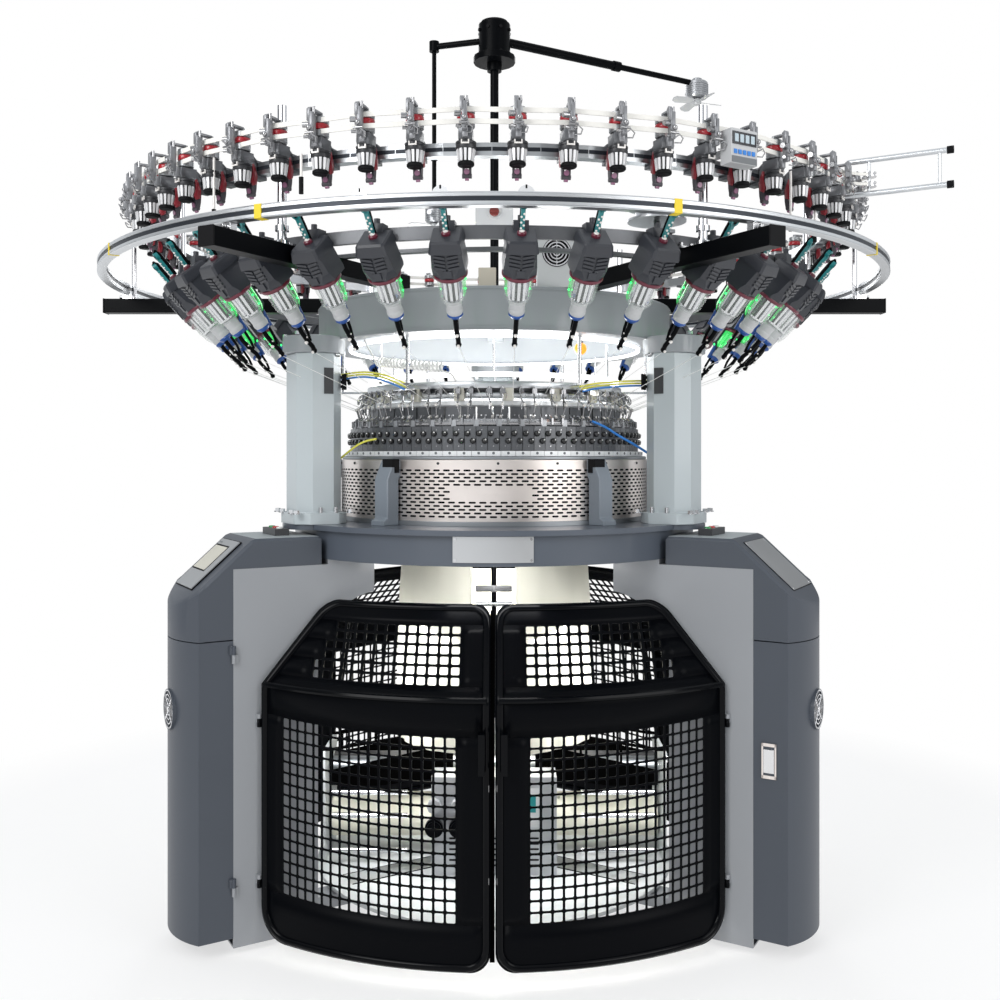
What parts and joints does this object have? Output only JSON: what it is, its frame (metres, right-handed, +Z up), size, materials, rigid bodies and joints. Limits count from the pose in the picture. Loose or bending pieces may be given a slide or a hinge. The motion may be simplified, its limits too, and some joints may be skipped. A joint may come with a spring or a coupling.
{
  "type": "circular knitting machine",
  "caption": "Large-diameter circular knitting machine on three legs, with bowed mesh doors, yarn feeder rings, a creel frame and lint fans on a mast.",
  "frame": {"origin": "on the floor, on the axis of the needle cylinder", "axes": "+Z up along the cylinder's axis, -Y towards the front doors, +X to the right seen from the front"},
  "size_m": [2.78, 2.658, 3.037],
  "materials": {
    "leg_panel": "satin grey paint",
    "cover_grey": "semi-gloss dark blue-grey paint",
    "bed_grey": "painted casting",
    "column_grey": "painted casting",
    "crown_grey": "painted casting",
    "door_black": "gloss black paint",
    "frame_black": "black paint",
    "steel": "brushed",
    "dark_steel": "ground",
    "chrome": "polished",
    "aluminium": "extruded",
    "light_grey": "grey paint",
    "plastic_grey": "moulded",
    "plastic_light": "moulded",
    "panel_dark": "moulded",
    "belt_white": "perforated belt",
    "button_green": "moulded",
    "button_red": "moulded",
    "button_white": "moulded",
    "cloth": "knitted cotton",
    "pad": "rubber"
  },
  "bodies": {
    "machine": {"leg_frame_left": "leg_panel", "leg_frame_right": "leg_panel", "leg_frame_rear": "leg_panel", "leg_caps": "cover_grey", "floor_pads": "pad", "cap_panels": "panel_dark", "button_stations": "plastic_light", "bed": "bed_grey", "columns": "column_grey", "crown": "crown_grey", "cam_plate": "steel", "cam_boxes": "dark_steel", "sinker_caps": "dark_steel", "head_guard": "steel", "ring_brackets": "bed_grey", "guide_ring": "steel", "side_guards": "door_black", "floor_spider": "leg_panel", "drive_motor": "aluminium", "creel_arms": "frame_black", "support_rings": "light_grey", "guard_rail": "aluminium", "ring_posts": "chrome", "positive_feeders": "plastic_grey", "drive_belts": "belt_white", "storage_feeders": "plastic_grey", "mast": "frame_black", "tension_arms": "aluminium", "control_boxes": "light_grey"},
    "door_left": {"door_left": "door_black", "door_handle_left": "frame_black"},
    "door_right": {"door_right": "door_black", "door_handle_right": "frame_black"},
    "leg_cover_left": {"leg_cover_left": "cover_grey"},
    "cover_latch_left": {"cover_latch_left": "chrome"},
    "leg_cover_right": {"leg_cover_right": "cover_grey"},
    "cover_latch_right": {"cover_latch_right": "chrome"},
    "leg_cover_rear": {"leg_cover_rear": "cover_grey"},
    "cover_latch_rear": {"cover_latch_rear": "chrome"},
    "run_button_left": {"run_button_left": "button_green"},
    "stop_button_left": {"stop_button_left": "button_red"},
    "inch_button_left": {"inch_button_left": "button_white"},
    "run_button_right": {"run_button_right": "button_green"},
    "stop_button_right": {"stop_button_right": "button_red"},
    "inch_button_right": {"inch_button_right": "button_white"},
    "rotor": {"ring_gear": "dark_steel", "cylinder": "steel", "takedown_frame": "frame_black", "drive_case": "light_grey", "cloth_tube": "cloth"},
    "draw_roller_front": {"draw_roller_front": "dark_steel"},
    "draw_roller_back": {"draw_roller_back": "dark_steel"},
    "cloth_roll": {"cloth_roll": "cloth"},
    "drive_shaft": {"drive_shaft": "steel"},
    "fan_mast_head": {"fan_hub": "frame_black", "fan_arms": "light_grey"},
    "outer_fan": {"outer_fan": "plastic_grey"},
    "inner_fan": {"inner_fan": "plastic_grey"},
    "quality_wheel": {"quality_wheel": "aluminium"},
    "tension_pulleys": {"tension_pulleys": "steel"}
  },
  "joints": [
    {"name": "door_left_hinge", "type": "hinge", "parent": "machine", "child": "door_left", "pos_m": [-0.707, -0.59042, 0.445], "axis": [0, 0, -1], "range_deg": [0, 75]},
    {"name": "door_right_hinge", "type": "hinge", "parent": "machine", "child": "door_right", "pos_m": [0.707, -0.59042, 0.445], "axis": [0, 0, 1], "range_deg": [0, 75]},
    {"name": "leg_cover_left_hinge", "type": "hinge", "parent": "machine", "child": "leg_cover_left", "pos_m": [-0.77367, -0.62797, 0.5], "axis": [0, 0, 1], "range_deg": [0, 75]},
    {"name": "cover_latch_left_pivot", "type": "hinge", "parent": "leg_cover_left", "child": "cover_latch_left", "pos_m": [-0.97139, -0.38151, 0.623], "axis": [0.866, 0.5, 0], "range_deg": [0, 40], "stiffness_Nm_per_rad": 0.05},
    {"name": "leg_cover_right_hinge", "type": "hinge", "parent": "machine", "child": "leg_cover_right", "pos_m": [0.93067, -0.35603, 0.5], "axis": [0, 0, 1], "range_deg": [0, 75]},
    {"name": "cover_latch_right_pivot", "type": "hinge", "parent": "leg_cover_right", "child": "cover_latch_right", "pos_m": [0.81609, -0.65049, 0.623], "axis": [-0.866, 0.5, 0], "range_deg": [0, 40], "stiffness_Nm_per_rad": 0.05},
    {"name": "leg_cover_rear_hinge", "type": "hinge", "parent": "machine", "child": "leg_cover_rear", "pos_m": [-0.157, 0.984, 0.5], "axis": [0, 0, 1], "range_deg": [0, 75]},
    {"name": "cover_latch_rear_pivot", "type": "hinge", "parent": "leg_cover_rear", "child": "cover_latch_rear", "pos_m": [0.1553, 1.032, 0.623], "axis": [0, -1, 0], "range_deg": [0, 40], "stiffness_Nm_per_rad": 0.05},
    {"name": "run_button_left_press", "type": "slide", "parent": "machine", "child": "run_button_left", "axis": [0, 0, -1], "range_m": [0, 0.004], "stiffness_N_per_m": 400},
    {"name": "stop_button_left_press", "type": "slide", "parent": "machine", "child": "stop_button_left", "axis": [0, 0, -1], "range_m": [0, 0.004], "stiffness_N_per_m": 400},
    {"name": "inch_button_left_press", "type": "slide", "parent": "machine", "child": "inch_button_left", "axis": [0, 0, -1], "range_m": [0, 0.004], "stiffness_N_per_m": 400},
    {"name": "run_button_right_press", "type": "slide", "parent": "machine", "child": "run_button_right", "axis": [0, 0, -1], "range_m": [0, 0.004], "stiffness_N_per_m": 400},
    {"name": "stop_button_right_press", "type": "slide", "parent": "machine", "child": "stop_button_right", "axis": [0, 0, -1], "range_m": [0, 0.004], "stiffness_N_per_m": 400},
    {"name": "inch_button_right_press", "type": "slide", "parent": "machine", "child": "inch_button_right", "axis": [0, 0, -1], "range_m": [0, 0.004], "stiffness_N_per_m": 400},
    {"name": "cylinder_spin", "type": "hinge", "parent": "machine", "child": "rotor", "pos_m": [0, 0, 0], "axis": [0, 0, 1], "continuous": true},
    {"name": "draw_roller_front_spin", "type": "hinge", "parent": "rotor", "child": "draw_roller_front", "pos_m": [0, -0.045, 0.4], "axis": [1, 0, 0], "continuous": true},
    {"name": "draw_roller_back_spin", "type": "hinge", "parent": "rotor", "child": "draw_roller_back", "pos_m": [0, 0.022, 0.4], "axis": [1, 0, 0], "continuous": true},
    {"name": "cloth_roll_spin", "type": "hinge", "parent": "rotor", "child": "cloth_roll", "pos_m": [0, 0, 0.215], "axis": [1, 0, 0], "continuous": true},
    {"name": "drive_shaft_spin", "type": "hinge", "parent": "machine", "child": "drive_shaft", "pos_m": [0, 0.851, 0.7], "axis": [0, 0, 1], "continuous": true},
    {"name": "fan_hub_spin", "type": "hinge", "parent": "machine", "child": "fan_mast_head", "pos_m": [0, 0, 2.95], "axis": [0, 0, 1], "continuous": true},
    {"name": "outer_fan_spin", "type": "hinge", "parent": "fan_mast_head", "child": "outer_fan", "pos_m": [0.80883, 0.44466, 2.91], "axis": [0, 0, 1], "continuous": true},
    {"name": "inner_fan_spin", "type": "hinge", "parent": "fan_mast_head", "child": "inner_fan", "pos_m": [-0.21968, 0.06466, 2.32], "axis": [0, 0, 1], "continuous": true},
    {"name": "quality_wheel_spin", "type": "hinge", "parent": "machine", "child": "quality_wheel", "pos_m": [0.44754, -0.89762, 2.15], "axis": [0, 0, 1], "continuous": true},
    {"name": "tension_pulleys_spin", "type": "hinge", "parent": "machine", "child": "tension_pulleys", "pos_m": [1.12301, -0.6225, 2.32], "axis": [0, 0, 1], "continuous": true}
  ],
  "couplings": [
    {"joint": "draw_roller_front_spin", "follows": "cylinder_spin", "ratio": 2},
    {"joint": "draw_roller_back_spin", "follows": "cylinder_spin", "ratio": -2},
    {"joint": "cloth_roll_spin", "follows": "cylinder_spin", "ratio": 0.8},
    {"joint": "drive_shaft_spin", "follows": "cylinder_spin", "ratio": 8}
  ]
}
